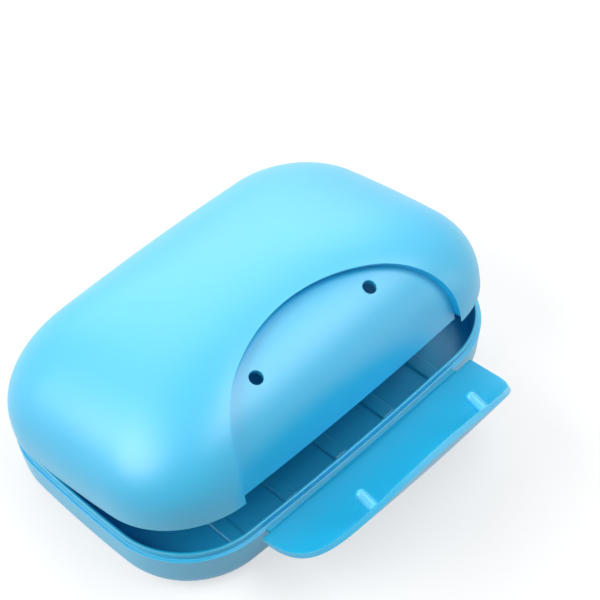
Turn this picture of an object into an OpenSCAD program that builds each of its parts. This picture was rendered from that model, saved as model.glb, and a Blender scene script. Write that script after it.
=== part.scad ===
// A covered soap dish: a shallow tray and a domed lid joined by a thin hinge
// film at the back, with a curved latch flap on a second film at the front.
// It is one plastic moulding, about 115 mm long. The lid stands ajar and the
// flap is swung out, as they rest when the box has just been unlatched.
// X runs along the box, -Y is the front, Z is up. The origin is on the table,
// under the middle of the tray.

/* [Plan of the box] */
// Overall length along X
box_l = 115; // [104:1:124]
// Overall width along Y
box_w = 75.6; // [70:0.2:82]
// Radius of the four plan corners
corner_r = 22.6; // [19:0.2:25]
// Radius of the slight outward bow of the front and back
long_side_r = 860; // [600:10:1500]
// Radius of the slight outward bow of the two ends
end_side_r = 380; // [260:10:800]

/* [Tray] */
// Height of the ledge that the lid sits on
ledge_h = 12.4; // [11:0.1:16]
// Thickness of the tray wall at the ledge
tray_wall = 1.7; // [1.6:0.05:2]
// Thickness of the tray floor
tray_floor = 1.6; // [1.2:0.1:2.4]
// Slope of the outside of the wall, in degrees from upright
tray_draft = 5; // [2:0.5:8]
// Radius of the round lower edge of the tray
tray_foot_r = 5.6; // [3:0.1:7]
// Slope of the inside of the wall, in degrees from upright
cavity_draft = 3; // [1:0.5:4]
// Radius of the round edge of the tray floor, inside
cavity_foot_r = 4.4; // [2:0.1:5]
// Distance of the sealing lip from the outside of the wall
lip_inset = 0.9; // [0.8:0.05:1.1]
// Height of the sealing lip above the ledge
lip_h = 1.8; // [1.2:0.1:2.4]
// Number of low drain ribs on the tray floor
rib_count = 5; // [3:1:7]
// Distance from the first drain rib to the last
rib_span = 68; // [50:1:76]
// Width of a drain rib
rib_w = 4; // [2:0.1:6]
// Height of a drain rib above the floor
rib_h = 0.8; // [0.5:0.1:1.5]
// Distance from the front or back of the tray to the end of a drain rib
rib_end = 7.8; // [6:0.1:16]

/* [Lid] */
// Height of the upright skirt under the dome
skirt_h = 2.2; // [1.8:0.1:4]
// Rise of the dome above the skirt
dome_h = 25.2; // [22:0.1:30]
// Fullness of the dome, where 2 is an ellipse
dome_power = 2.24; // [2:0.02:2.8]
// Thickness of the lid wall
lid_wall = 1.5; // [1.2:0.05:1.8]
// Clearance between the closed lid and the ledge
seat_gap = 0.3; // [0.2:0.05:0.5]
// Clearance on each side of the sealing lip
lip_gap = 0.25; // [0.2:0.05:0.3]
// Angle by which the lid stands open at rest
lid_ajar = 9.6; // [5:0.1:30]

/* [Latch recess in the lid] */
// Width of the recess at the rim
recess_w = 72; // [60:0.5:76]
// Height of the arched recess, seen square to its slope
recess_h = 30.8; // [28:0.1:33]
// Radius of the two shoulders of the arch
recess_shoulder_r = 27; // [24:0.5:28]
// Height of the upright sides below the shoulders
recess_side_h = 1.5; // [0.5:0.1:3]
// Depth of the recess
recess_depth = 2.1; // [2.05:0.05:2.6]
// Thickness of the lid wall behind the recess
panel_wall = 1.3; // [1:0.05:1.6]
// Diameter of the two catch holes
eye_d = 3.5; // [3:0.1:4.5]
// Distance of each catch hole from the middle of the box, along X
eye_x = 18.4; // [12:0.1:20]
// Distance of each catch hole behind the front of the box
eye_back = 11.3; // [9.5:0.1:12.5]
// Tilt of the catch holes from upright
eye_tilt = 24; // [10:1:35]

/* [Latch flap] */
// Thickness of the flap
flap_wall = 1.3; // [1:0.05:1.5]
// How far the shut flap stands out beyond the lid
flap_proud = 0.8; // [0.7:0.05:1.1]
// Clearance between the flap and the edge of its recess
flap_gap = 0.5; // [0.3:0.05:0.8]
// Height of the root of the shut flap above the ledge
flap_root_h = 0.9; // [0.7:0.1:1.4]
// Angle by which the flap is swung out at rest, from shut
flap_out = 83; // [60:1:110]
// Diameter of the two catch pegs
peg_d = 2.9; // [2:0.1:2.9]
// Length by which a peg of the shut flap passes through the lid wall
peg_past = 1.1; // [0.6:0.1:2]

/* [Hinge films] */
// Distance of the lid's hinge line behind the tray
lid_axis_out = 1.6; // [1.4:0.1:2.4]
// Distance of the flap's hinge line in front of the tray
flap_axis_out = 1.2; // [1.1:0.1:1.8]
// Thickness of both films
film_t = 0.35; // [0.25:0.05:0.45]
// Width of the lid's film along X
lid_film_w = 62; // [40:1:64]
// Width of the flap's film along X
flap_film_w = 64; // [50:1:66]
// Thickness of the lands that carry the films
land_t = 1; // [0.8:0.1:1.2]
// How far the lands stand out beyond the middle of the rim
land_out = 0.5; // [0.3:0.05:0.6]

/* [Hidden] */
$fn = 96;
half_l = box_l / 2;
half_w = box_w / 2;
plastic = [0.42, 0.78, 0.94];
film_colour = [0.36, 0.72, 0.9];

// Drain ribs run across the tray floor
rib_l = box_w - 2 * rib_end;

// Heights
rim_z = ledge_h + seat_gap;
lip_top_z = ledge_h + lip_h;
lid_axis = [half_w + lid_axis_out, ledge_h + seat_gap / 2];
flap_axis = [-half_w - flap_axis_out, ledge_h];

// The plan outline is eight tangent arcs. The centre of the corner arc lies
// where it touches both a long side's arc and an end's arc from inside.
long_c = [0, half_w - long_side_r];
end_c = [half_l - end_side_r, 0];
long_reach = long_side_r - corner_r;
end_reach = end_side_r - corner_r;
between = end_c - long_c;
apart = norm(between);
along = (long_reach * long_reach - end_reach * end_reach + apart * apart) / (2 * apart);
across = sqrt(long_reach * long_reach - along * along);
corner_c = long_c + (along * between + across * [between[1], -between[0]]) / apart;
end_half_angle = atan2(corner_c[1] - end_c[1], corner_c[0] - end_c[0]);
long_half_angle = 90 - atan2(corner_c[1] - long_c[1], corner_c[0] - long_c[0]);

// The catch holes go through the middle of the panel behind the recess
eye_y = half_w - eye_back;
eye_out = (eye_y + pow(eye_x, 2) / (2 * long_side_r)) / (half_w - recess_depth);
eye_scale = eye_out / rounder([eye_x, eye_y] / eye_out, recess_depth, eye_out);
eye_z = rim_z + skirt_h + (dome_h - recess_depth) * pow(1 - pow(eye_scale, dome_power), 1 / dome_power);
peg_reach = panel_wall + peg_past;

// Numbers of steps along the outline, the dome and the foot, the angle at which
// the dome's top is closed flat, and a small overlap that makes a clean cut
corner_steps = 9;
long_steps = 4;
end_steps = 3;
dome_steps = 12;
dome_top_angle = 88;
foot_steps = 6;
over = 1;

// A point on an arc of the outline: centre, radius and angle
function on_arc(c, r, a) = c + r * [cos(a), sin(a)];

// A quarter of the outline, moved in by d, from the end to the long side
function quarter(d) = concat(
    [for (i = [0 : end_steps - 1]) on_arc(end_c, end_side_r - d, i / end_steps * end_half_angle)],
    [for (i = [0 : corner_steps - 1]) on_arc(corner_c, corner_r - d,
        end_half_angle + i / corner_steps * (90 - end_half_angle - long_half_angle))],
    [for (i = [0 : long_steps - 1]) on_arc(long_c, long_side_r - d,
        90 - long_half_angle * (1 - i / long_steps))]);

// The same quarter turned about, ready for the next stretch of the outline
function swapped(p, x, y) = [for (i = [len(p) - 1 : -1 : 0]) [x * p[i][0], y * p[i][1]]];
function kept(p, x, y) = [for (q = p) [x * q[0], y * q[1]]];
function tail(p) = [for (i = [1 : len(p) - 1]) p[i]];

// The whole outline as points, anticlockwise, moved in by d
function outline(d) = let (q = quarter(d)) concat(
    q, [[0, half_w - d]], swapped(q, -1, 1),
    tail(kept(q, -1, -1)), [[0, d - half_w]], swapped(tail(q), 1, -1));

module plan(d) {
    polygon(outline(d));
}

// The factor that makes a smaller level rounder than the plan: it draws a point
// of the outline moved in by d towards the ellipse as long and wide as the outline
function rounder(p, d, shrink) = 1 - pow(1 - shrink, 2)
    * (1 - 1 / norm([p[0] / (half_l - d), p[1] / (half_w - d)]));

// One level of a solid: the outline moved in by d, at a height and a scale
function level(d, z, shrink = 1) = [for (p = outline(d))
    let (k = shrink * rounder(p, d, shrink)) [k * p[0], k * p[1], z]];

// A closed solid through its levels, from the lowest to the highest
module skin(levels) {
    n = len(levels[0]);
    m = len(levels);
    sides = [for (k = [0 : m - 2], i = [0 : n - 1]) let (
        low = k * n + i,
        low_next = k * n + (i + 1) % n)
        [[low, low + n, low_next + n], [low, low_next + n, low_next]]];
    polyhedron(
        [for (l = levels, p = l) p],
        concat(
            [[for (i = [0 : n - 1]) i]],
            [for (pair = sides, f = pair) f],
            [[for (i = [n - 1 : -1 : 0]) (m - 1) * n + i]]));
}

// A tub whose wall leans in by draft degrees below its rim, which has the given
// inset, and turns into a flat floor through a round foot
module tub(h, inset, draft, foot_r) {
    foot_x = inset + (foot_r + (h - foot_r) * sin(draft)) / cos(draft);
    skin(concat(
        [for (k = [0 : foot_steps]) let (a = 90 - k / foot_steps * (90 - draft))
            level(foot_x - foot_r * cos(a), foot_r * (1 - sin(a)))],
        [level(inset, h)]));
}

// The dome's outside moved in by d, as a closed solid from the height z0 up.
// Every level is the outline, drawn together by the dome's curve and rounder
// towards the crown.
module dome(d, z0) {
    skin(concat(
        [level(d, z0)],
        [for (k = [0 : dome_steps]) let (a = dome_top_angle * k / dome_steps)
            level(d, rim_z + skirt_h + (dome_h - d) * pow(sin(a), 2 / dome_power),
                pow(cos(a), 2 / dome_power))]));
}

// The arch of the recess, made wider by grow on its sides and its top
module arch(grow) {
    half = recess_w / 2;
    rise = recess_h - recess_side_h;
    crown_r = (pow(half - recess_shoulder_r, 2) + pow(rise, 2) - pow(recess_shoulder_r, 2))
        / (2 * (rise - recess_shoulder_r));
    crown_y = recess_h - crown_r;
    shoulder_x = half - recess_shoulder_r;
    lean = atan2(recess_side_h - crown_y, shoulder_x);
    reach = crown_r + grow + over;
    for (x = [0, 1]) mirror([x, 0])
        translate([shoulder_x, recess_side_h]) circle(recess_shoulder_r + grow);
    intersection() {
        translate([0, crown_y]) circle(crown_r + grow);
        polygon([[0, crown_y], on_arc([0, crown_y], 2 * reach, lean),
            on_arc([0, crown_y], 2 * reach, 180 - lean)]);
    }
    translate([-half - grow, -recess_h]) square([2 * (half + grow), recess_h + recess_side_h]);
}

// The arch carried through the front of the dome, square to a slope of 45 degrees
module through_front(grow) {
    front_depth = 12;
    front_reach = 24;
    translate([0, -half_w, ledge_h]) rotate([45, 0, 0])
        translate([0, 0, -front_depth]) linear_extrude(front_depth + front_reach) arch(grow);
}

// The line of each catch hole, with its middle at the face of the panel
module at_eyes() {
    for (x = [-1, 1])
        translate([x * eye_x, -eye_y, eye_z]) rotate([eye_tilt, 0, 0]) children();
}

// A bar along the back or the front rim that carries a film
module land(side, z, w) {
    reach = tray_wall + land_out;
    translate([-w / 2, side * (half_w + land_out - reach / 2) - reach / 2, z])
        cube([w, reach, land_t]);
}

module tray() {
    color(plastic) {
        difference() {
            union() {
                tub(ledge_h, 0, tray_draft, tray_foot_r);
                translate([0, 0, ledge_h - land_t])
                    linear_extrude(land_t + lip_h) plan(lip_inset);
                land(1, ledge_h - land_t, lid_film_w);
                land(-1, ledge_h - land_t, flap_film_w);
            }
            translate([0, 0, tray_floor])
                tub(lip_top_z - tray_floor + over, tray_wall, cavity_draft, cavity_foot_r);
        }
        for (i = [0 : rib_count - 1])
            translate([(i / (rib_count - 1) - 0.5) * rib_span - rib_w / 2, -rib_l / 2,
                tray_floor - over]) cube([rib_w, rib_l, rib_h + over]);
    }
}

// The lid as it sits when it is shut
module shut_lid() {
    difference() {
        union() {
            dome(0, rim_z);
            land(1, rim_z, lid_film_w);
        }
        difference() {
            through_front(0);
            dome(recess_depth, rim_z - over);
        }
        difference() {
            dome(lid_wall, rim_z - over);
            through_front(lid_wall);
        }
        dome(recess_depth + panel_wall, rim_z - over);
        translate([0, 0, rim_z - over]) linear_extrude(lip_top_z + lip_gap + over - rim_z)
            difference() {
                plan(lip_inset - lip_gap);
                plan(tray_wall + lip_gap);
            }
        at_eyes() cylinder(h = 4 * recess_depth, d = eye_d, center = true);
    }
}

module lid() {
    color(plastic)
        translate([0, lid_axis[0], lid_axis[1]]) rotate([-lid_ajar, 0, 0])
        translate([0, -lid_axis[0], -lid_axis[1]]) shut_lid();
}

// The flap as it sits when it is shut: a slice of a slightly larger dome, with
// the arch of the recess, and a round-ended peg for each catch hole
module shut_flap() {
    root_z = ledge_h + flap_root_h;
    inner = flap_wall - flap_proud;
    peg_h = peg_reach + recess_depth - inner + flap_wall / 2;
    intersection() {
        difference() {
            dome(-flap_proud, rim_z - over);
            dome(inner, rim_z - 2 * over);
        }
        through_front(-flap_gap);
        translate([-half_l, -box_w, root_z]) cube([box_l, box_w, 2 * dome_h]);
    }
    at_eyes() translate([0, 0, -peg_reach]) {
        cylinder(h = peg_h, d = peg_d);
        sphere(d = peg_d);
    }
}

module latch_flap() {
    color(plastic)
        translate([0, flap_axis[0], flap_axis[1]]) rotate([flap_out, 0, 0])
        translate([0, -flap_axis[0], -flap_axis[1]]) shut_flap();
}

// The section of a film is drawn with the hinge line at its origin. A leg runs
// from there to a face that stands upright or lies flat.
module upright_leg(end) {
    half = film_t / 2;
    polygon([[0, half], [0, -half], [end[0], end[1] - half], [end[0], end[1] + half]]);
}

module flat_leg(end) {
    half = film_t / 2;
    polygon([[-half, 0], [half, 0], [end[0] + half, end[1]], [end[0] - half, end[1]]]);
}

// The fold behind the lid: from each land it runs out and bends to the hinge line
module folded_leg(run, bend_r) {
    translate([-run, -bend_r - film_t / 2]) square([run - bend_r, film_t]);
    intersection() {
        translate([-bend_r, 0]) difference() {
            circle(bend_r + film_t / 2);
            circle(bend_r - film_t / 2);
        }
        translate([-bend_r, -2 * bend_r]) square(2 * bend_r);
    }
}

module film_at(axis, w) {
    color(film_colour)
        translate([w / 2, axis[0], axis[1]]) rotate([90, 0, -90])
        mirror([1, 0, 0]) linear_extrude(w) children();
}

module lid_hinge_film() {
    run = lid_axis_out - land_out;
    bend_r = (seat_gap + land_t) / 2;
    film_at(lid_axis, lid_film_w) {
        circle(d = film_t);
        folded_leg(run, bend_r);
        rotate(-lid_ajar) mirror([0, 1]) folded_leg(run, bend_r);
    }
}

module flap_hinge_film() {
    land_face = flap_axis_out - land_out;
    root_face = flap_axis_out - flap_proud + flap_wall - film_t;
    film_at(flap_axis, flap_film_w) {
        circle(d = film_t);
        upright_leg([land_face, -land_t / 3]);
        rotate(flap_out) flat_leg([root_face, flap_root_h]);
    }
}

tray();
lid();
latch_flap();
lid_hinge_film();
flap_hinge_film();
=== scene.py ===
from bisect import bisect_left
from math import atan2, cos, hypot, pi, radians, sin, sqrt

import bmesh
import bpy
from mathutils import Matrix, Vector


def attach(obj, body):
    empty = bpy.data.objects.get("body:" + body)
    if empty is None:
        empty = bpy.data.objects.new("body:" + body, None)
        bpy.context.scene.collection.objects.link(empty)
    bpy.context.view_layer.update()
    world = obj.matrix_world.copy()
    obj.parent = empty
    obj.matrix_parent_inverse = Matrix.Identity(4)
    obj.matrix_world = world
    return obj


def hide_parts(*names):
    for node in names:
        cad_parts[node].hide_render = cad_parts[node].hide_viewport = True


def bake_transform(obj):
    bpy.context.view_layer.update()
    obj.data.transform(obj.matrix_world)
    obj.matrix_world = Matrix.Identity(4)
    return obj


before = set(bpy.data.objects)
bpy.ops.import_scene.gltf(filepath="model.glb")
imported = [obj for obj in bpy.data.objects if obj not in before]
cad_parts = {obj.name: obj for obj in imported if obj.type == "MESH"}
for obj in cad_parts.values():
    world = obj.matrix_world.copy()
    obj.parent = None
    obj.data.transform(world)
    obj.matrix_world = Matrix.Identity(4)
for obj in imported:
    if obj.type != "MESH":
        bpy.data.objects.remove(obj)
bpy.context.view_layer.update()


# Camera: the box is seen from its front left corner, from above, through a
# long lens, a little rolled, as the photograph shows it.
camera_data = bpy.data.cameras.new("camera")
camera_data.lens = 98.5
camera_data.sensor_width = 36
camera = bpy.data.objects.new("camera", camera_data)
turn, tip, roll = radians(42.94), radians(42.04), radians(3.41)
camera.matrix_world = (
    Matrix.Translation((-0.1678, -0.1987, 0.3228))
    @ Matrix.Rotation(-turn, 4, "Z")
    @ Matrix.Rotation(tip, 4, "X")
    @ Matrix.Rotation(-roll, 4, "Z")
)
bpy.context.scene.collection.objects.link(camera)
bpy.context.scene.camera = camera
bpy.context.scene.view_settings.view_transform = "Standard"


# Floor: a plain white studio floor. The camera and the gloss see it whiter than
# it lights the box, and it keeps the box's soft shadow.
def seen_directly(tree):
    """Gives 1 to what the camera sees, straight on, mirrored or through something."""
    path = tree.nodes.new("ShaderNodeLightPath")
    seen = path.outputs["Is Camera Ray"]
    for kind in ("Is Glossy Ray", "Is Transmission Ray"):
        either = tree.nodes.new("ShaderNodeMath")
        either.operation = "MAXIMUM"
        tree.links.new(seen, either.inputs[0])
        tree.links.new(path.outputs[kind], either.inputs[1])
        seen = either.outputs[0]
    return seen


floor_material = bpy.data.materials.new("floor")
floor_material.use_nodes = True
floor_tree = floor_material.node_tree
floor_shader = floor_tree.nodes["Principled BSDF"]
floor_shader.inputs["Base Color"].default_value = (0.36, 0.36, 0.36, 1)
floor_shader.inputs["Roughness"].default_value = 0.9
floor_shader.inputs["Specular IOR Level"].default_value = 0.1
floor_glow = floor_tree.nodes.new("ShaderNodeEmission")
glow_level = floor_tree.nodes.new("ShaderNodeMapRange")
glow_level.inputs["To Max"].default_value = 0.64
floor_both = floor_tree.nodes.new("ShaderNodeAddShader")
floor_tree.links.new(seen_directly(floor_tree), glow_level.inputs["Value"])
floor_tree.links.new(glow_level.outputs["Result"], floor_glow.inputs["Strength"])
floor_tree.links.new(floor_shader.outputs[0], floor_both.inputs[0])
floor_tree.links.new(floor_glow.outputs[0], floor_both.inputs[1])
floor_out = floor_tree.nodes["Material Output"]
floor_tree.links.new(floor_both.outputs[0], floor_out.inputs["Surface"])
floor_reach = 4
floor_bm = bmesh.new()
bmesh.ops.create_grid(floor_bm, x_segments=1, y_segments=1, size=floor_reach)
floor_mesh = bpy.data.meshes.new("floor")
floor_bm.to_mesh(floor_mesh)
floor_bm.free()
floor = bpy.data.objects.new("floor", floor_mesh)
floor_mesh.materials.append(floor_material)
bpy.context.scene.collection.objects.link(floor)


# Studio light: soft panels behind and at the left, whose reflections pale the
# top of the lid, one overhead, a weak one low at the right, and a white
# surrounding that the gloss sees and that lights the box only faintly.
world = bpy.data.worlds.new("studio")
world.use_nodes = True
surrounding = world.node_tree.nodes["Background"]
surrounding.inputs["Color"].default_value = (1, 1, 1, 1)
surrounding_level = world.node_tree.nodes.new("ShaderNodeMapRange")
surrounding_level.inputs["To Min"].default_value = 0.2
surrounding_level.inputs["To Max"].default_value = 1
world_links = world.node_tree.links
world_links.new(seen_directly(world.node_tree), surrounding_level.inputs["Value"])
world_links.new(surrounding_level.outputs["Result"], surrounding.inputs["Strength"])
bpy.context.scene.world = world


def soft_panel(name, place, aim, width, height, power):
    """A rectangular lamp that faces the box. Its power is in watts."""
    data = bpy.data.lights.new(name, "AREA")
    data.shape = "RECTANGLE"
    data.size = width
    data.size_y = height
    data.energy = power
    lamp = bpy.data.objects.new(name, data)
    lamp.matrix_world = (
        Matrix.Translation(place)
        @ (Vector(aim) - Vector(place)).to_track_quat("-Z", "Y").to_matrix().to_4x4()
    )
    bpy.context.scene.collection.objects.link(lamp)


soft_panel("back_panel", (0.46, 0.80, 0.66), (0, 0, 0.03), 1.1, 0.8, 5.4)
soft_panel("left_panel", (-0.75, 0.45, 0.75), (0, 0, 0.03), 0.9, 0.7, 9.4)
soft_panel("right_panel", (0.80, -0.80, 0.26), (0, 0, 0.02), 0.5, 0.4, 1.2)
soft_panel("front_panel", (0.35, -0.35, 1.05), (0, 0, 0.02), 0.8, 0.7, 7.0)


# Tray: the shallow lower half of a one-piece moulding in light blue
# polypropylene, with its ledge, the raised sealing lip inside the ledge, the
# drain ribs and the two lands that the films grow out of.
def plastic(name, colour, roughness):
    """Satin, a little translucent, clouded in tint and gloss, with a fine moulded grain."""
    cloud_tint, cloud_gloss = 0.03, 0.04
    material = bpy.data.materials.new(name)
    material.use_nodes = True
    tree = material.node_tree
    shader = tree.nodes["Principled BSDF"]
    place = tree.nodes.new("ShaderNodeTexCoord")
    clouds = tree.nodes.new("ShaderNodeTexNoise")
    clouds.inputs["Scale"].default_value = 45
    clouds.inputs["Detail"].default_value = 3
    tint = tree.nodes.new("ShaderNodeMix")
    tint.data_type = "RGBA"
    tint.inputs["A"].default_value = (*[c * (1 - cloud_tint) for c in colour], 1)
    tint.inputs["B"].default_value = (*[min(1, c * (1 + cloud_tint)) for c in colour], 1)
    grain = tree.nodes.new("ShaderNodeTexNoise")
    grain.inputs["Scale"].default_value = 2600
    grain.inputs["Detail"].default_value = 2
    bump = tree.nodes.new("ShaderNodeBump")
    bump.inputs["Strength"].default_value = 0.06
    bump.inputs["Distance"].default_value = 0.0002
    gloss = tree.nodes.new("ShaderNodeMapRange")
    gloss.inputs["To Min"].default_value = roughness - cloud_gloss
    gloss.inputs["To Max"].default_value = roughness + cloud_gloss
    tree.links.new(place.outputs["Object"], clouds.inputs["Vector"])
    tree.links.new(place.outputs["Object"], grain.inputs["Vector"])
    tree.links.new(clouds.outputs["Fac"], tint.inputs["Factor"])
    tree.links.new(clouds.outputs["Fac"], gloss.inputs["Value"])
    tree.links.new(grain.outputs["Fac"], bump.inputs["Height"])
    tree.links.new(tint.outputs["Result"], shader.inputs["Base Color"])
    tree.links.new(gloss.outputs["Result"], shader.inputs["Roughness"])
    tree.links.new(bump.outputs["Normal"], shader.inputs["Normal"])
    shader.inputs["Specular IOR Level"].default_value = 0.95
    shader.inputs["Coat Weight"].default_value = 0.8
    shader.inputs["Coat Roughness"].default_value = 0.46
    shader.inputs["Subsurface Weight"].default_value = 0.4
    shader.inputs["Subsurface Radius"].default_value = (0.4, 0.7, 1.0)
    shader.inputs["Subsurface Scale"].default_value = 0.0015
    return material


box_plastic = plastic("box_plastic", (0.003, 0.50, 0.81), 0.44)


def finish_piece(bm, name, body, node, material):
    """Makes the mesh an object in place of its node, riding on its body."""
    bmesh.ops.remove_doubles(bm, verts=bm.verts, dist=1e-7)
    bmesh.ops.recalc_face_normals(bm, faces=bm.faces)
    for face in bm.faces:
        face.smooth = True
    mesh = bpy.data.meshes.new(name)
    bm.to_mesh(mesh)
    bm.free()
    mesh.materials.append(material)
    piece = bpy.data.objects.new(name, mesh)
    bpy.context.scene.collection.objects.link(piece)
    even = piece.modifiers.new("even_shading", "WEIGHTED_NORMAL")
    even.keep_sharp = True
    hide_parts(node)
    if body:
        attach(piece, body)
    return piece


def round_edges(bm, radius, least=radians(35), segments=3):
    """Rounds the edges at which two faces turn by more than the least angle."""
    sharp = [e for e in bm.edges if e.is_manifold and e.calc_face_angle(0) > least]
    bmesh.ops.bevel(
        bm, geom=sharp, offset=radius, offset_type="OFFSET", affect="EDGES",
        segments=segments, profile=0.5, material=-1, clamp_overlap=True,
    )


half_l, half_w = 0.0575, 0.0378
corner_r, long_r, end_r = 0.0226, 0.860, 0.380
ledge_h, tray_wall, tray_floor = 0.0124, 0.0017, 0.0016
foot_r, inner_foot_r, outer_draft, inner_draft = 0.0056, 0.0044, radians(5), radians(3)
tray_edge_r, bar_edge_r, rib_edge_r = 0.00024, 0.0002, 0.0006
lip_inset, lip_h = 0.0009, 0.0018
land_t, land_out = 0.001, 0.0005
lid_film_w, flap_film_w = 0.062, 0.064

# The plan outline is eight tangent arcs: two ends, two long sides, four corners
long_c = Vector((0, half_w - long_r))
end_c = Vector((half_l - end_r, 0))
between = end_c - long_c
apart = between.length
along = ((long_r - corner_r) ** 2 - (end_r - corner_r) ** 2 + apart**2) / (2 * apart)
aside = sqrt((long_r - corner_r) ** 2 - along**2)
corner_c = long_c + (along * between + aside * Vector((between.y, -between.x))) / apart
end_turn = atan2(corner_c.y - end_c.y, corner_c.x - end_c.x)
long_turn = pi / 2 - atan2(corner_c.y - long_c.y, corner_c.x - long_c.x)


def outward(p):
    """The direction straight out of the outline at one of its points."""
    q = Vector((abs(p.x), abs(p.y)))
    seen = q - corner_c
    bearing = atan2(seen.y, seen.x)
    centre = corner_c
    if bearing < end_turn:
        centre = end_c
    elif bearing > pi / 2 - long_turn:
        centre = long_c
    normal = (q - centre).normalized()
    return Vector((normal.x if p.x >= 0 else -normal.x, normal.y if p.y >= 0 else -normal.y))


def outline_ring(bm):
    """The outline as a ring of edges. Each point keeps its place in the plan."""
    plan = bm.verts.layers.float_vector.new("plan")
    last = bmesh.ops.create_vert(bm, co=(half_l, 0, 0))["vert"][0]
    corner_turn = pi / 2 - end_turn - long_turn
    stretches = [(end_c, end_turn, 10), (corner_c, corner_turn, 26), (long_c, long_turn, 22)]
    for centre, angle, steps in stretches:
        swept = bmesh.ops.spin(
            bm, geom=[last], cent=(*centre, 0), axis=(0, 0, 1), angle=angle,
            steps=steps, use_merge=False,
        )
        last = [g for g in swept["geom_last"] if isinstance(g, bmesh.types.BMVert)][0]
    for axis in ("X", "Y"):
        bmesh.ops.mirror(bm, geom=bm.verts[:] + bm.edges[:], axis=axis, merge_dist=1e-5)
    bmesh.ops.remove_doubles(bm, verts=bm.verts, dist=1e-5)
    for v in bm.verts:
        v[plan] = v.co
    return bm.edges[:]


def swept_levels(bm, ring, levels):
    """Draws the ring through levels, each the outline moved in by an inset, at a height."""
    plan = bm.verts.layers.float_vector["plan"]
    for inset, z in levels:
        grown = bmesh.ops.extrude_edge_only(bm, edges=ring)["geom"]
        for v in grown:
            if isinstance(v, bmesh.types.BMVert):
                flat = v[plan].to_2d()
                v.co = Vector((*(flat - outward(flat) * inset), z))
        ring = [g for g in grown if isinstance(g, bmesh.types.BMEdge)]


def tub_levels(h, inset, draft, foot_r, steps=10):
    """The section of a drafted wall on a round foot, as insets and heights from the floor."""
    foot_in = inset + (foot_r + (h - foot_r) * sin(draft)) / cos(draft)
    angles = [pi / 2 - k / steps * (pi / 2 - draft) for k in range(steps + 1)]
    arc = [(foot_in - foot_r * cos(a), foot_r * (1 - sin(a))) for a in angles]
    foot_inset, foot_z = arc[-1]
    rows = 4
    wall = [
        (foot_inset + (inset - foot_inset) * k / rows, foot_z + (h - foot_z) * k / rows)
        for k in range(1, rows + 1)
    ]
    return arc + wall


tray_bm = bmesh.new()
tray_ring = outline_ring(tray_bm)
outer = tub_levels(ledge_h, 0, outer_draft, foot_r)
inner = tub_levels(ledge_h + lip_h - tray_floor, tray_wall, inner_draft, inner_foot_r)
ledge_level = [(lip_inset, ledge_h), (lip_inset, ledge_h + lip_h)]
inside = [(inset, z + tray_floor) for inset, z in reversed(inner)]
guide = tray_bm.verts[:]
swept_levels(tray_bm, tray_ring, outer + ledge_level + inside)
bmesh.ops.delete(tray_bm, geom=guide, context="VERTS")
rims = [e for e in tray_bm.edges if e.is_boundary]
bmesh.ops.edgeloop_fill(tray_bm, edges=rims)
bmesh.ops.recalc_face_normals(tray_bm, faces=tray_bm.faces)
round_edges(tray_bm, tray_edge_r)


def rounded_bar(bm, low, high, radius, segments=3):
    """A bar from its low corner to its high corner, rounded all over."""
    size = Vector(high) - Vector(low)
    middle = (Vector(high) + Vector(low)) / 2
    made = bmesh.ops.create_cube(
        bm, size=1, matrix=Matrix.Translation(middle) @ Matrix.Diagonal((*size, 1))
    )
    bmesh.ops.bevel(
        bm, geom=[e for v in made["verts"] for e in v.link_edges if v == e.verts[0]],
        offset=radius, offset_type="OFFSET", affect="EDGES", segments=segments, profile=0.5,
        material=-1, clamp_overlap=True,
    )


# Five wide, low drain ribs, sunk a little into the floor so that they join it
rib_pitch, rib_w, rib_h, rib_l, sunk = 0.017, 0.004, 0.0008, 0.060, 0.0006
for k in range(-2, 3):
    rounded_bar(
        tray_bm, (k * rib_pitch - rib_w / 2, -rib_l / 2, tray_floor - sunk),
        (k * rib_pitch + rib_w / 2, rib_l / 2, tray_floor + rib_h), rib_edge_r,
    )

# The lands stand out of the rim, one for each film
land_reach = tray_wall * 0.6 + land_out
clear = 0.00002
for side, width in ((1, lid_film_w), (-1, flap_film_w)):
    face = side * (half_w + land_out)
    back = side * (half_w + land_out - land_reach)
    rounded_bar(
        tray_bm, (-width / 2, min(face, back), ledge_h - land_t),
        (width / 2, max(face, back), ledge_h - clear), bar_edge_r,
    )
tray = finish_piece(tray_bm, "tray_shell", "tray", "tray", box_plastic)


# Lid: a thin dome on a short upright skirt, with a groove that takes the
# tray's lip. The arched recess for the flap is sunk into its front, with two
# round catch holes. It stands ajar, turned about the film behind it.
skirt_h, dome_h, dome_power, lid_wall = 0.0022, 0.0252, 2.24, 0.0015
seat_gap, lip_gap = 0.0003, 0.00025
recess_depth, panel_wall = 0.0021, 0.0013
rim_z = ledge_h + seat_gap
spring_z = rim_z + skirt_h
groove_z = ledge_h + lip_h + lip_gap

# The dome's section, from the top of the skirt up to the crown, by length
section_steps = 600
section = []
for k in range(section_steps + 1):
    a = pi / 2 * k / section_steps
    section.append((max(cos(a), 0) ** (2 / dome_power), sin(a) ** (2 / dome_power)))
section.reverse()
lengths = [0.0]
for (s0, r0), (s1, r1) in zip(section, section[1:]):
    lengths.append(lengths[-1] + hypot((s1 - s0) * half_w, (r1 - r0) * dome_h))
section_l = lengths[-1]


def section_at(m):
    """How far out and how high the section is at a share m of its length."""
    want = m * section_l
    k = min(max(bisect_left(lengths, want), 1), section_steps)
    t = (want - lengths[k - 1]) / (lengths[k] - lengths[k - 1])
    (s0, r0), (s1, r1) = section[k - 1], section[k]
    return s0 + (s1 - s0) * t, r0 + (r1 - r0) * t


falling = [-r for s, r in section]


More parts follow.
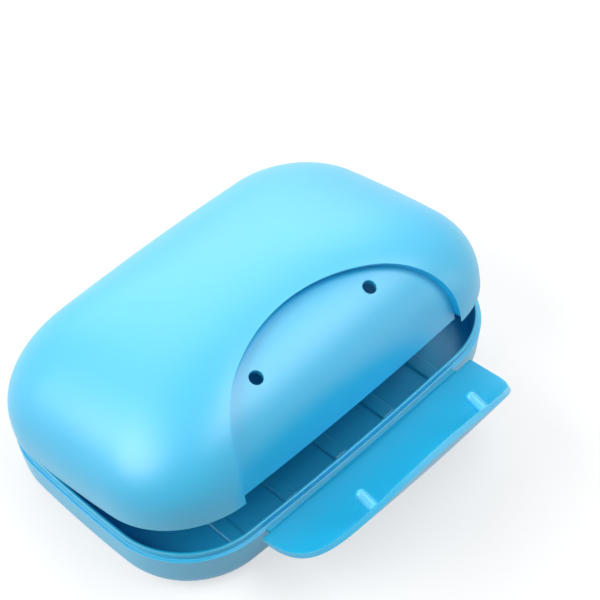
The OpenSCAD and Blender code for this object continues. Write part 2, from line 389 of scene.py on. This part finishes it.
def section_of(rise):
    """The share of the section's length at which it has a given rise."""
    k = min(max(bisect_left(falling, -rise), 1), section_steps)
    r0, r1 = section[k - 1][1], section[k][1]
    t = (rise - r0) / (r1 - r0) if r1 != r0 else 0
    return (lengths[k - 1] + (lengths[k] - lengths[k - 1]) * t) / section_l


def reach(u, inset):
    """How far the inset outline is from the middle, in the direction u."""
    d = Vector((abs(u.x), abs(u.y)))
    d.normalize()

    def hit(centre, radius):
        b = d.dot(centre)
        return b + sqrt(b * b - centre.length_squared + radius**2)

    far = min(hit(end_c, end_r - inset), hit(long_c, long_r - inset))
    seen = d * far - corner_c
    if end_turn < atan2(seen.y, seen.x) < pi / 2 - long_turn:
        far = hit(corner_c, corner_r - inset)
    return far


def roundness(d, s):
    """The dome's level lines turn from the outline into an ellipse towards the crown."""
    far = reach(d, 0)
    ellipse = 1 / hypot(d.x * far / half_l, d.y * far / half_w)
    return 1 - (1 - s) ** 2 * (1 - ellipse)


def dome_point(q, inset):
    """The point of the dome or of its skirt at a place in the unrolled dome."""
    d = q.normalized() if q.length > 1e-9 else Vector((1, 0))
    m = q.length / reach(d, 0)
    if m > 1:
        return Vector((*(d * reach(d, inset)), spring_z - (m - 1) * section_l))
    s, rise = section_at(m)
    flat = d * reach(d, inset) * s * roundness(d, s)
    return Vector((*flat, spring_z + (dome_h - inset) * rise))


def plan_of(p, inset):
    """The place in the unrolled dome of a point on it."""
    d = Vector((p.x, p.y)).normalized()
    if p.z < spring_z:
        m = 1 + (spring_z - p.z) / section_l
    else:
        m = section_of(min(1, (p.z - spring_z) / (dome_h - inset)))
    return d * reach(d, 0) * m


def outside_dome(p, inset):
    """True for a point beyond the dome, once that is moved in by the inset."""
    flat = Vector((p.x, p.y))
    rise = (p.z - spring_z) / (dome_h - inset)
    if rise > 1:
        return True
    s = 1 if rise <= 0 else (1 - rise**dome_power) ** (1 / dome_power)
    d = flat.normalized()
    return flat.length > reach(d, inset) * s * roundness(d, s)


# The arch of the recess lies in a plane that slopes at 45 degrees
arch_half, arch_h, shoulder_r, side_h = 0.036, 0.0308, 0.027, 0.0015
shoulder_x = arch_half - shoulder_r
arch_rise = arch_h - side_h
crown_r = (shoulder_x**2 + arch_rise**2 - shoulder_r**2) / (2 * (arch_rise - shoulder_r))
crown_y = arch_h - crown_r
lean = atan2(side_h - crown_y, shoulder_x)
crown_l = crown_r * (pi / 2 - lean)
shoulder_l = shoulder_r * lean
arch_l = crown_l + shoulder_l + side_h
up_slope = Vector((0, 1, 1)).normalized()
out_of_slope = Vector((0, -1, 1)).normalized()
slope_foot = Vector((0, -half_w, ledge_h))


def arch_point(f, grow):
    """A point of the arch, from foot (f -1) to foot (f 1), across and up the slope."""
    run = abs(f) * arch_l
    if run < crown_l:
        a = pi / 2 - run / crown_r
        x, w = (crown_r + grow) * cos(a), crown_y + (crown_r + grow) * sin(a)
    elif run < crown_l + shoulder_l:
        a = lean * (1 - (run - crown_l) / shoulder_l)
        x, w = shoulder_x + (shoulder_r + grow) * cos(a), side_h + (shoulder_r + grow) * sin(a)
    else:
        x, w = arch_half + grow, side_h - (run - crown_l - shoulder_l)
    return (x if f > 0 else -x), w


def on_dome(start, way, inset, low=-0.012, high=0.024, halvings=34):
    """Where a line through start meets the dome."""
    for _ in range(halvings):
        middle = (low + high) / 2
        if outside_dome(start + way * middle, inset):
            high = middle
        else:
            low = middle
    return start + way * low


def arch_on_dome(f, grow, inset):
    """A point of the arch, carried square to its slope onto the dome."""
    x, w = arch_point(f, grow)
    return on_dome(slope_foot + Vector((x, 0, 0)) + up_slope * w, out_of_slope, inset)


def arch_foot(grow, inset, low_z, near=0.7, far=1.0, halvings=30):
    """How far along itself the arch comes down to low_z."""
    for _ in range(halvings):
        middle = (near + far) / 2
        if arch_on_dome(middle, grow, inset).z > low_z:
            near = middle
        else:
            far = middle
    return near


# Places along the rim, by length, clockwise from the middle of the front
rim_steps = 1440
rim_points = []
for k in range(rim_steps + 1):
    a = -pi / 2 - 2 * pi * k / rim_steps
    d = Vector((cos(a), sin(a)))
    rim_points.append(d * reach(d, 0))
rim_run = [0.0]
for p0, p1 in zip(rim_points, rim_points[1:]):
    rim_run.append(rim_run[-1] + (p1 - p0).length)
rim_l = rim_run[-1]


def rim_at(run):
    """The point of the rim at a length along it."""
    run = run % rim_l
    k = min(max(bisect_left(rim_run, run), 1), rim_steps)
    t = (run - rim_run[k - 1]) / (rim_run[k] - rim_run[k - 1])
    return rim_points[k - 1].lerp(rim_points[k], t)


def run_of(q):
    """The length along the rim at which it lies in the direction of q."""
    bearing = (-pi / 2 - atan2(q.y, q.x)) % (2 * pi)
    k = bearing / (2 * pi) * rim_steps
    low = min(int(k), rim_steps - 1)
    return rim_run[low] + (rim_run[low + 1] - rim_run[low]) * (k - low)


def patch(arch, feet, turns_back, low_m, u, v):
    """A point between the arch (v 0) and the rim (v 1), as a place in the unrolled dome."""
    run0 = run_of(arch[0])
    run1 = run_of(arch[-1])
    if turns_back:
        start, end = run0 + feet, run1 - feet
    else:
        start, end = run0 - feet, run1 - rim_l + feet
    here = arch[round(u * (len(arch) - 1))]
    rim = rim_at(start + (end - start) * u) * low_m
    rim0, rim1 = rim_at(start) * low_m, rim_at(end) * low_m
    side0 = rim_at(run0 + (start - run0) * v) * low_m
    side1 = rim_at(run1 + (end - (run1 if turns_back else run1 - rim_l)) * v) * low_m
    straight = here * (1 - v) + rim * v
    fix0 = side0 - (arch[0] * (1 - v) + rim0 * v)
    fix1 = side1 - (arch[-1] * (1 - v) + rim1 * v)
    return straight + fix0 * (1 - u) ** 3 + fix1 * u**3


def skin(bm, inset, panel_inset, grow, low_z, back_steps, front_steps, round_steps):
    """The dome behind the arch, the step, and the panel inside the arch, as one
    sheet. With no back steps it is the panel alone."""
    dome_spread, panel_spread = 0.030, 0.015
    panel = bm.verts.layers.int.get("panel") or bm.verts.layers.int.new("panel")
    number = bm.verts.layers.int.get("place") or bm.verts.layers.int.new("place")
    low_m = 1 + (spring_z - low_z) / section_l
    arches = {}
    for level in {inset, panel_inset}:
        foot = arch_foot(grow, level, low_z)
        curve = []
        for k in range(round_steps + 1):
            p = arch_on_dome((2 * k / round_steps - 1) * foot, grow, level)
            curve.append(plan_of(p, level))
        for end in (0, -1):
            curve[end] = curve[end].normalized() * reach(curve[end], 0) * low_m
        arches[level] = curve
    columns = front_steps if back_steps == 0 else back_steps + 1 + front_steps
    made = bmesh.ops.create_grid(bm, x_segments=columns, y_segments=round_steps, size=0.5)
    for v in made["verts"]:
        i = round((v.co.x + 0.5) * columns)
        u = round((v.co.y + 0.5) * round_steps) / round_steps
        v[number] = i * (round_steps + 1) + round(u * round_steps)
        if back_steps and i <= back_steps:
            q = patch(arches[inset], dome_spread, True, low_m, u, 1 - i / back_steps)
            v.co = dome_point(q, inset)
            v[panel] = 0
        else:
            k = i - back_steps - 1 if back_steps else i
            q = patch(arches[panel_inset], panel_spread, False, low_m, u, k / front_steps)
            v.co = dome_point(q, panel_inset)
            v[panel] = 1
    return made["verts"]


# The two catch holes lean out of the panel, one each side of the middle
eye_d, eye_x, eye_y, eye_tilt, eye_segments = 0.0035, 0.0184, 0.0265, radians(24), 32
eye_axis = Vector((0, -sin(eye_tilt), cos(eye_tilt)))
eye_start = on_dome(Vector((eye_x, -eye_y, 0.020)), Vector((0, 0, 1)), recess_depth)


def off_axis(p, side):
    """How far a point is from the axis of the catch hole on that side."""
    seen = Vector((side * p.x, p.y, p.z)) - eye_start
    return (seen - eye_axis * seen.dot(eye_axis)).length


def eye_edge(bm, sheet, side):
    """Clears a sheet around one catch hole and gives the edges of the gap."""
    near, cleared, edge_reach = 0.008, eye_d / 2 + 0.001, 0.0055
    around = [
        v for v in sheet
        if v.is_valid and side * v.co.x > 0 and abs(v.co.y - eye_start.y) < near
    ]
    cut = [v for v in around if off_axis(v.co, side) < cleared]
    bmesh.ops.delete(bm, geom=cut, context="VERTS")
    own = {v for v in around if v.is_valid and off_axis(v.co, side) < edge_reach}
    return [e for e in bm.edges if e.is_boundary and own.issuperset(e.verts)]


def drawn(bm, edges, place):
    """Draws edges out into a new row of faces and gives the far row's edges."""
    grown = bmesh.ops.extrude_edge_only(bm, edges=edges)["geom"]
    for v in grown:
        if isinstance(v, bmesh.types.BMVert):
            v.co = place(v)
    return [g for g in grown if isinstance(g, bmesh.types.BMEdge)]


# Two sheets, the outside and the inside, are closed along the rim by the groove
# that takes the lip, and through the catch holes
back_rows, front_rows, round_rows, lid_edge_r = 56, 30, 160, 0.0002
lid_bm = bmesh.new()
outer_sheet = skin(lid_bm, 0, recess_depth, 0, groove_z, back_rows, front_rows, round_rows)
outer_rim = [e for e in lid_bm.edges if e.is_boundary]
known = set(lid_bm.edges)
inner_sheet = skin(
    lid_bm, lid_wall, recess_depth + panel_wall, lid_wall, groove_z,
    back_rows, front_rows, round_rows,
)
inner_rim = [e for e in lid_bm.edges if e.is_boundary and e not in known]
panel_layer = lid_bm.verts.layers.int["panel"]
place_layer = lid_bm.verts.layers.int["place"]
groove_inset = lip_inset - lip_gap
below_roof = 0.0007


def groove_roof(v):
    """Under the dome the groove's roof runs out to the skirt. The panel goes straight down."""
    if v[panel_layer]:
        return Vector((v.co.x, v.co.y, groove_z - below_roof))
    d = Vector((v.co.x, v.co.y)).normalized()
    return Vector((*(d * reach(d, groove_inset)), groove_z))


def at_rim(v):
    """Straight down to the lid's seat."""
    return Vector((v.co.x, v.co.y, rim_z))


def beside_step(edges):
    """The edges that don't cross the step between the dome and the panel."""
    return [e for e in edges if e.verts[0][panel_layer] == e.verts[1][panel_layer]]


inner_rim = drawn(lid_bm, beside_step(inner_rim), groove_roof)
inner_rim = drawn(lid_bm, inner_rim, at_rim)
far_side = {v[place_layer]: v.co.copy() for e in inner_rim for v in e.verts}
outer_rim = drawn(lid_bm, beside_step(outer_rim), at_rim)
outer_rim = drawn(lid_bm, outer_rim, lambda v: far_side[v[place_layer]])
panel_back, eye_search = recess_depth + panel_wall, 0.006
for side in (-1, 1):
    middle = Vector((side * eye_start.x, eye_start.y, eye_start.z))
    facing = eye_axis.to_track_quat("Z", "Y").to_matrix().to_4x4()
    ring = bmesh.ops.create_circle(
        lid_bm, segments=eye_segments, radius=eye_d / 2, cap_ends=False,
        matrix=Matrix.Translation(middle) @ facing,
    )["verts"]
    for v in ring:
        v.co = on_dome(v.co.copy(), eye_axis, recess_depth, -eye_search, eye_search)
    mouth = list(dict.fromkeys(e for v in ring for e in v.link_edges))
    bmesh.ops.bridge_loops(lid_bm, edges=eye_edge(lid_bm, outer_sheet, side) + mouth)
    mouth = drawn(
        lid_bm, mouth,
        lambda v: on_dome(v.co.copy(), eye_axis, panel_back, -eye_search, eye_search),
    )
    bmesh.ops.bridge_loops(lid_bm, edges=eye_edge(lid_bm, inner_sheet, side) + mouth)
bmesh.ops.remove_doubles(lid_bm, verts=lid_bm.verts, dist=1e-7)


def depth(v):
    """How far inside the outline a point is."""
    flat = v.co.to_2d()
    return reach(flat.normalized(), 0) - flat.length


# The groove runs on under the step at each foot of the arch
for side in (-1, 1):
    rims = [e for e in lid_bm.edges if e.is_boundary and side * e.verts[0].co.x > 0]
    loose = list(dict.fromkeys(v for e in rims for v in e.verts))
    skirt_end = sorted((v for v in loose if not v[panel_layer]), key=depth)[:4]
    panel_end = [v for v in loose if v[panel_layer]]
    step_foot = [v for v in loose if v.co.z > groove_z - below_roof / 2]
    for corners in (skirt_end, panel_end, step_foot):
        bmesh.ops.contextual_create(lid_bm, geom=corners)
bmesh.ops.recalc_face_normals(lid_bm, faces=lid_bm.faces)
round_edges(lid_bm, lid_edge_r)

# The film's land follows the curve of the skirt that it is moulded on
land_bm = bmesh.new()
bite, land_cuts = groove_inset - 0.0001, 15
rounded_bar(
    land_bm, (-lid_film_w / 2, half_w - bite, rim_z + clear),
    (lid_film_w / 2, half_w + land_out, rim_z + land_t), bar_edge_r,
)
lengthwise = [e for e in land_bm.edges if e.calc_length() > lid_film_w / 2]
bmesh.ops.subdivide_edges(land_bm, edges=lengthwise, cuts=land_cuts, use_grid_fill=True)
for v in land_bm.verts:
    if v.co.y < half_w:
        v.co.y -= long_r - sqrt(long_r**2 - v.co.x**2)
land_mesh = bpy.data.meshes.new("lid_land")
land_bm.to_mesh(land_mesh)
land_bm.free()
lid_bm.from_mesh(land_mesh)

# The lid is made shut, then turned open about its film
lid_axis_out = 0.0016
lid_hinge = Vector((0, half_w + lid_axis_out, ledge_h + seat_gap / 2))
lid_ajar = radians(9.6)
bmesh.ops.rotate(
    lid_bm, verts=lid_bm.verts, cent=lid_hinge, matrix=Matrix.Rotation(-lid_ajar, 3, "X")
)
lid = finish_piece(lid_bm, "lid_shell", "lid", "lid", box_plastic)


# Latch flap: a curved leaf with the shape of the recess, of the same plastic,
# with two round-ended pegs on its inner side that snap into the catch holes.
# The film along its foot holds it. It is swung out.
flap_wall, flap_proud, flap_gap, flap_root_h = 0.0013, 0.0008, 0.0005, 0.0009
flap_edge_r = 0.0003
flap_bm = bmesh.new()
flap_root_z = ledge_h + flap_root_h
skin(flap_bm, -flap_proud, -flap_proud, -flap_gap, flap_root_z, 0, front_rows, round_rows)
front_rim = [e for e in flap_bm.edges if e.is_boundary]
known = set(flap_bm.edges)
flap_inner = flap_wall - flap_proud
skin(flap_bm, flap_inner, flap_inner, -flap_gap, flap_root_z, 0, front_rows, round_rows)
back_rim = [e for e in flap_bm.edges if e.is_boundary and e not in known]
bmesh.ops.bridge_loops(flap_bm, edges=front_rim + back_rim)
bmesh.ops.recalc_face_normals(flap_bm, faces=flap_bm.faces)
round_edges(flap_bm, flap_edge_r)

# Each peg is turned about its hole's axis: a round end, a shank, a flared root
peg_d, peg_past, peg_flare, peg_segments = 0.0029, 0.0011, 0.0005, 32
peg_reach = panel_wall + peg_past
peg_root, end_rows, flare_rows = flap_wall * 0.4, 8, 5
for side in (-1, 1):
    foot = Vector((side * eye_start.x, eye_start.y, eye_start.z))
    seat = on_dome(foot, eye_axis, flap_inner, low=-0.004, high=0.008)
    shank = (seat - foot).length
    profile = [(0.0, -peg_reach - peg_d / 2)]
    profile += [
        (peg_d / 2 * sin(a), -peg_reach - peg_d / 2 * cos(a))
        for a in [pi / 2 * k / end_rows for k in range(1, end_rows + 1)]
    ]
    profile += [
        (peg_d / 2 + peg_flare * (1 - cos(a)), shank - peg_flare + peg_flare * sin(a))
        for a in [pi / 2 * k / flare_rows for k in range(flare_rows + 1)]
    ]
    profile += [(peg_d / 2 + peg_flare, shank + peg_root), (0.0, shank + peg_root)]
    facing = Matrix.Translation(foot) @ eye_axis.to_track_quat("Z", "Y").to_matrix().to_4x4()
    points = [
        bmesh.ops.create_vert(flap_bm, co=facing @ Vector((r, 0, h)))["vert"][0]
        for r, h in profile
    ]
    lines = [flap_bm.edges.new(pair) for pair in zip(points, points[1:])]
    bmesh.ops.spin(
        flap_bm, geom=points + lines, cent=foot, axis=eye_axis, angle=2 * pi,
        steps=peg_segments, use_merge=True,
    )

# The flap is made shut, then turned out about its film
flap_axis_out = 0.0012
flap_hinge = Vector((0, -half_w - flap_axis_out, ledge_h))
flap_out = radians(83)
bmesh.ops.rotate(
    flap_bm, verts=flap_bm.verts, cent=flap_hinge, matrix=Matrix.Rotation(flap_out, 3, "X")
)
flap = finish_piece(flap_bm, "latch_flap_leaf", "flap", "latch_flap", box_plastic)


# Films: the two living hinges are the same plastic, left thin along a line.
# Each is a ribbon that starts in one land and ends in the other part.
film_t = 0.00035
film_plastic = plastic("film_plastic", (0.003, 0.49, 0.80), 0.36)


def ribbon(points, width, bend_steps=6, strips=8):
    """A thin strip that follows one smooth bend through its points."""
    bm = bmesh.new()
    line = []
    count = len(points) - 1
    for k in range(count * bend_steps + 1):
        t = k / (count * bend_steps)
        level = [Vector(p) for p in points]
        while len(level) > 1:
            level = [p0.lerp(p1, t) for p0, p1 in zip(level, level[1:])]
        start = level[0] - Vector((width / 2, 0, 0))
        line.append(bmesh.ops.create_vert(bm, co=start)["vert"][0])
    edges = [bm.edges.new(pair) for pair in zip(line, line[1:])]
    for _ in range(strips):
        grown = bmesh.ops.extrude_edge_only(bm, edges=edges)["geom"]
        fresh = [g for g in grown if isinstance(g, bmesh.types.BMVert)]
        bmesh.ops.translate(bm, verts=fresh, vec=(width / strips, 0, 0))
        edges = [g for g in grown if isinstance(g, bmesh.types.BMEdge)]
    bmesh.ops.recalc_face_normals(bm, faces=bm.faces)
    bmesh.ops.solidify(bm, geom=bm.faces[:], thickness=film_t)
    return bm


def turned(p, hinge, angle):
    """A point turned about a hinge that runs along the box."""
    return Matrix.Rotation(angle, 3, "X") @ (Vector(p) - hinge) + hinge


# The lid's film runs from the tray's land, round behind, into the lid's land
rooted, bulge, half_bend = 0.0004, 0.0008, 0.0003
tray_land = Vector((0, half_w + land_out - rooted, ledge_h - land_t / 2))
tray_bend = Vector((0, lid_hinge.y + bulge, ledge_h - land_t / 2))
lid_land = turned((0, half_w + land_out - rooted, rim_z + land_t / 2), lid_hinge, -lid_ajar)
lid_bend = turned((0, lid_hinge.y + bulge, rim_z + land_t / 2), lid_hinge, -lid_ajar)
lid_film = finish_piece(
    ribbon([tray_land, tray_bend, lid_bend, lid_land], lid_film_w), "lid_film", None,
    "lid_hinge_film", film_plastic,
)
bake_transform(lid_film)

# The flap's film runs from the front land into the foot of the flap
front_land = Vector((0, -half_w - land_out + rooted, ledge_h - land_t / 2))
flap_root = turned(
    (0, -half_w + flap_wall / 2 - flap_proud, flap_root_z + rooted), flap_hinge, flap_out
)
flap_film = finish_piece(
    ribbon([front_land, flap_hinge, flap_root], flap_film_w), "flap_film", None,
    "flap_hinge_film", film_plastic,
)
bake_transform(flap_film)
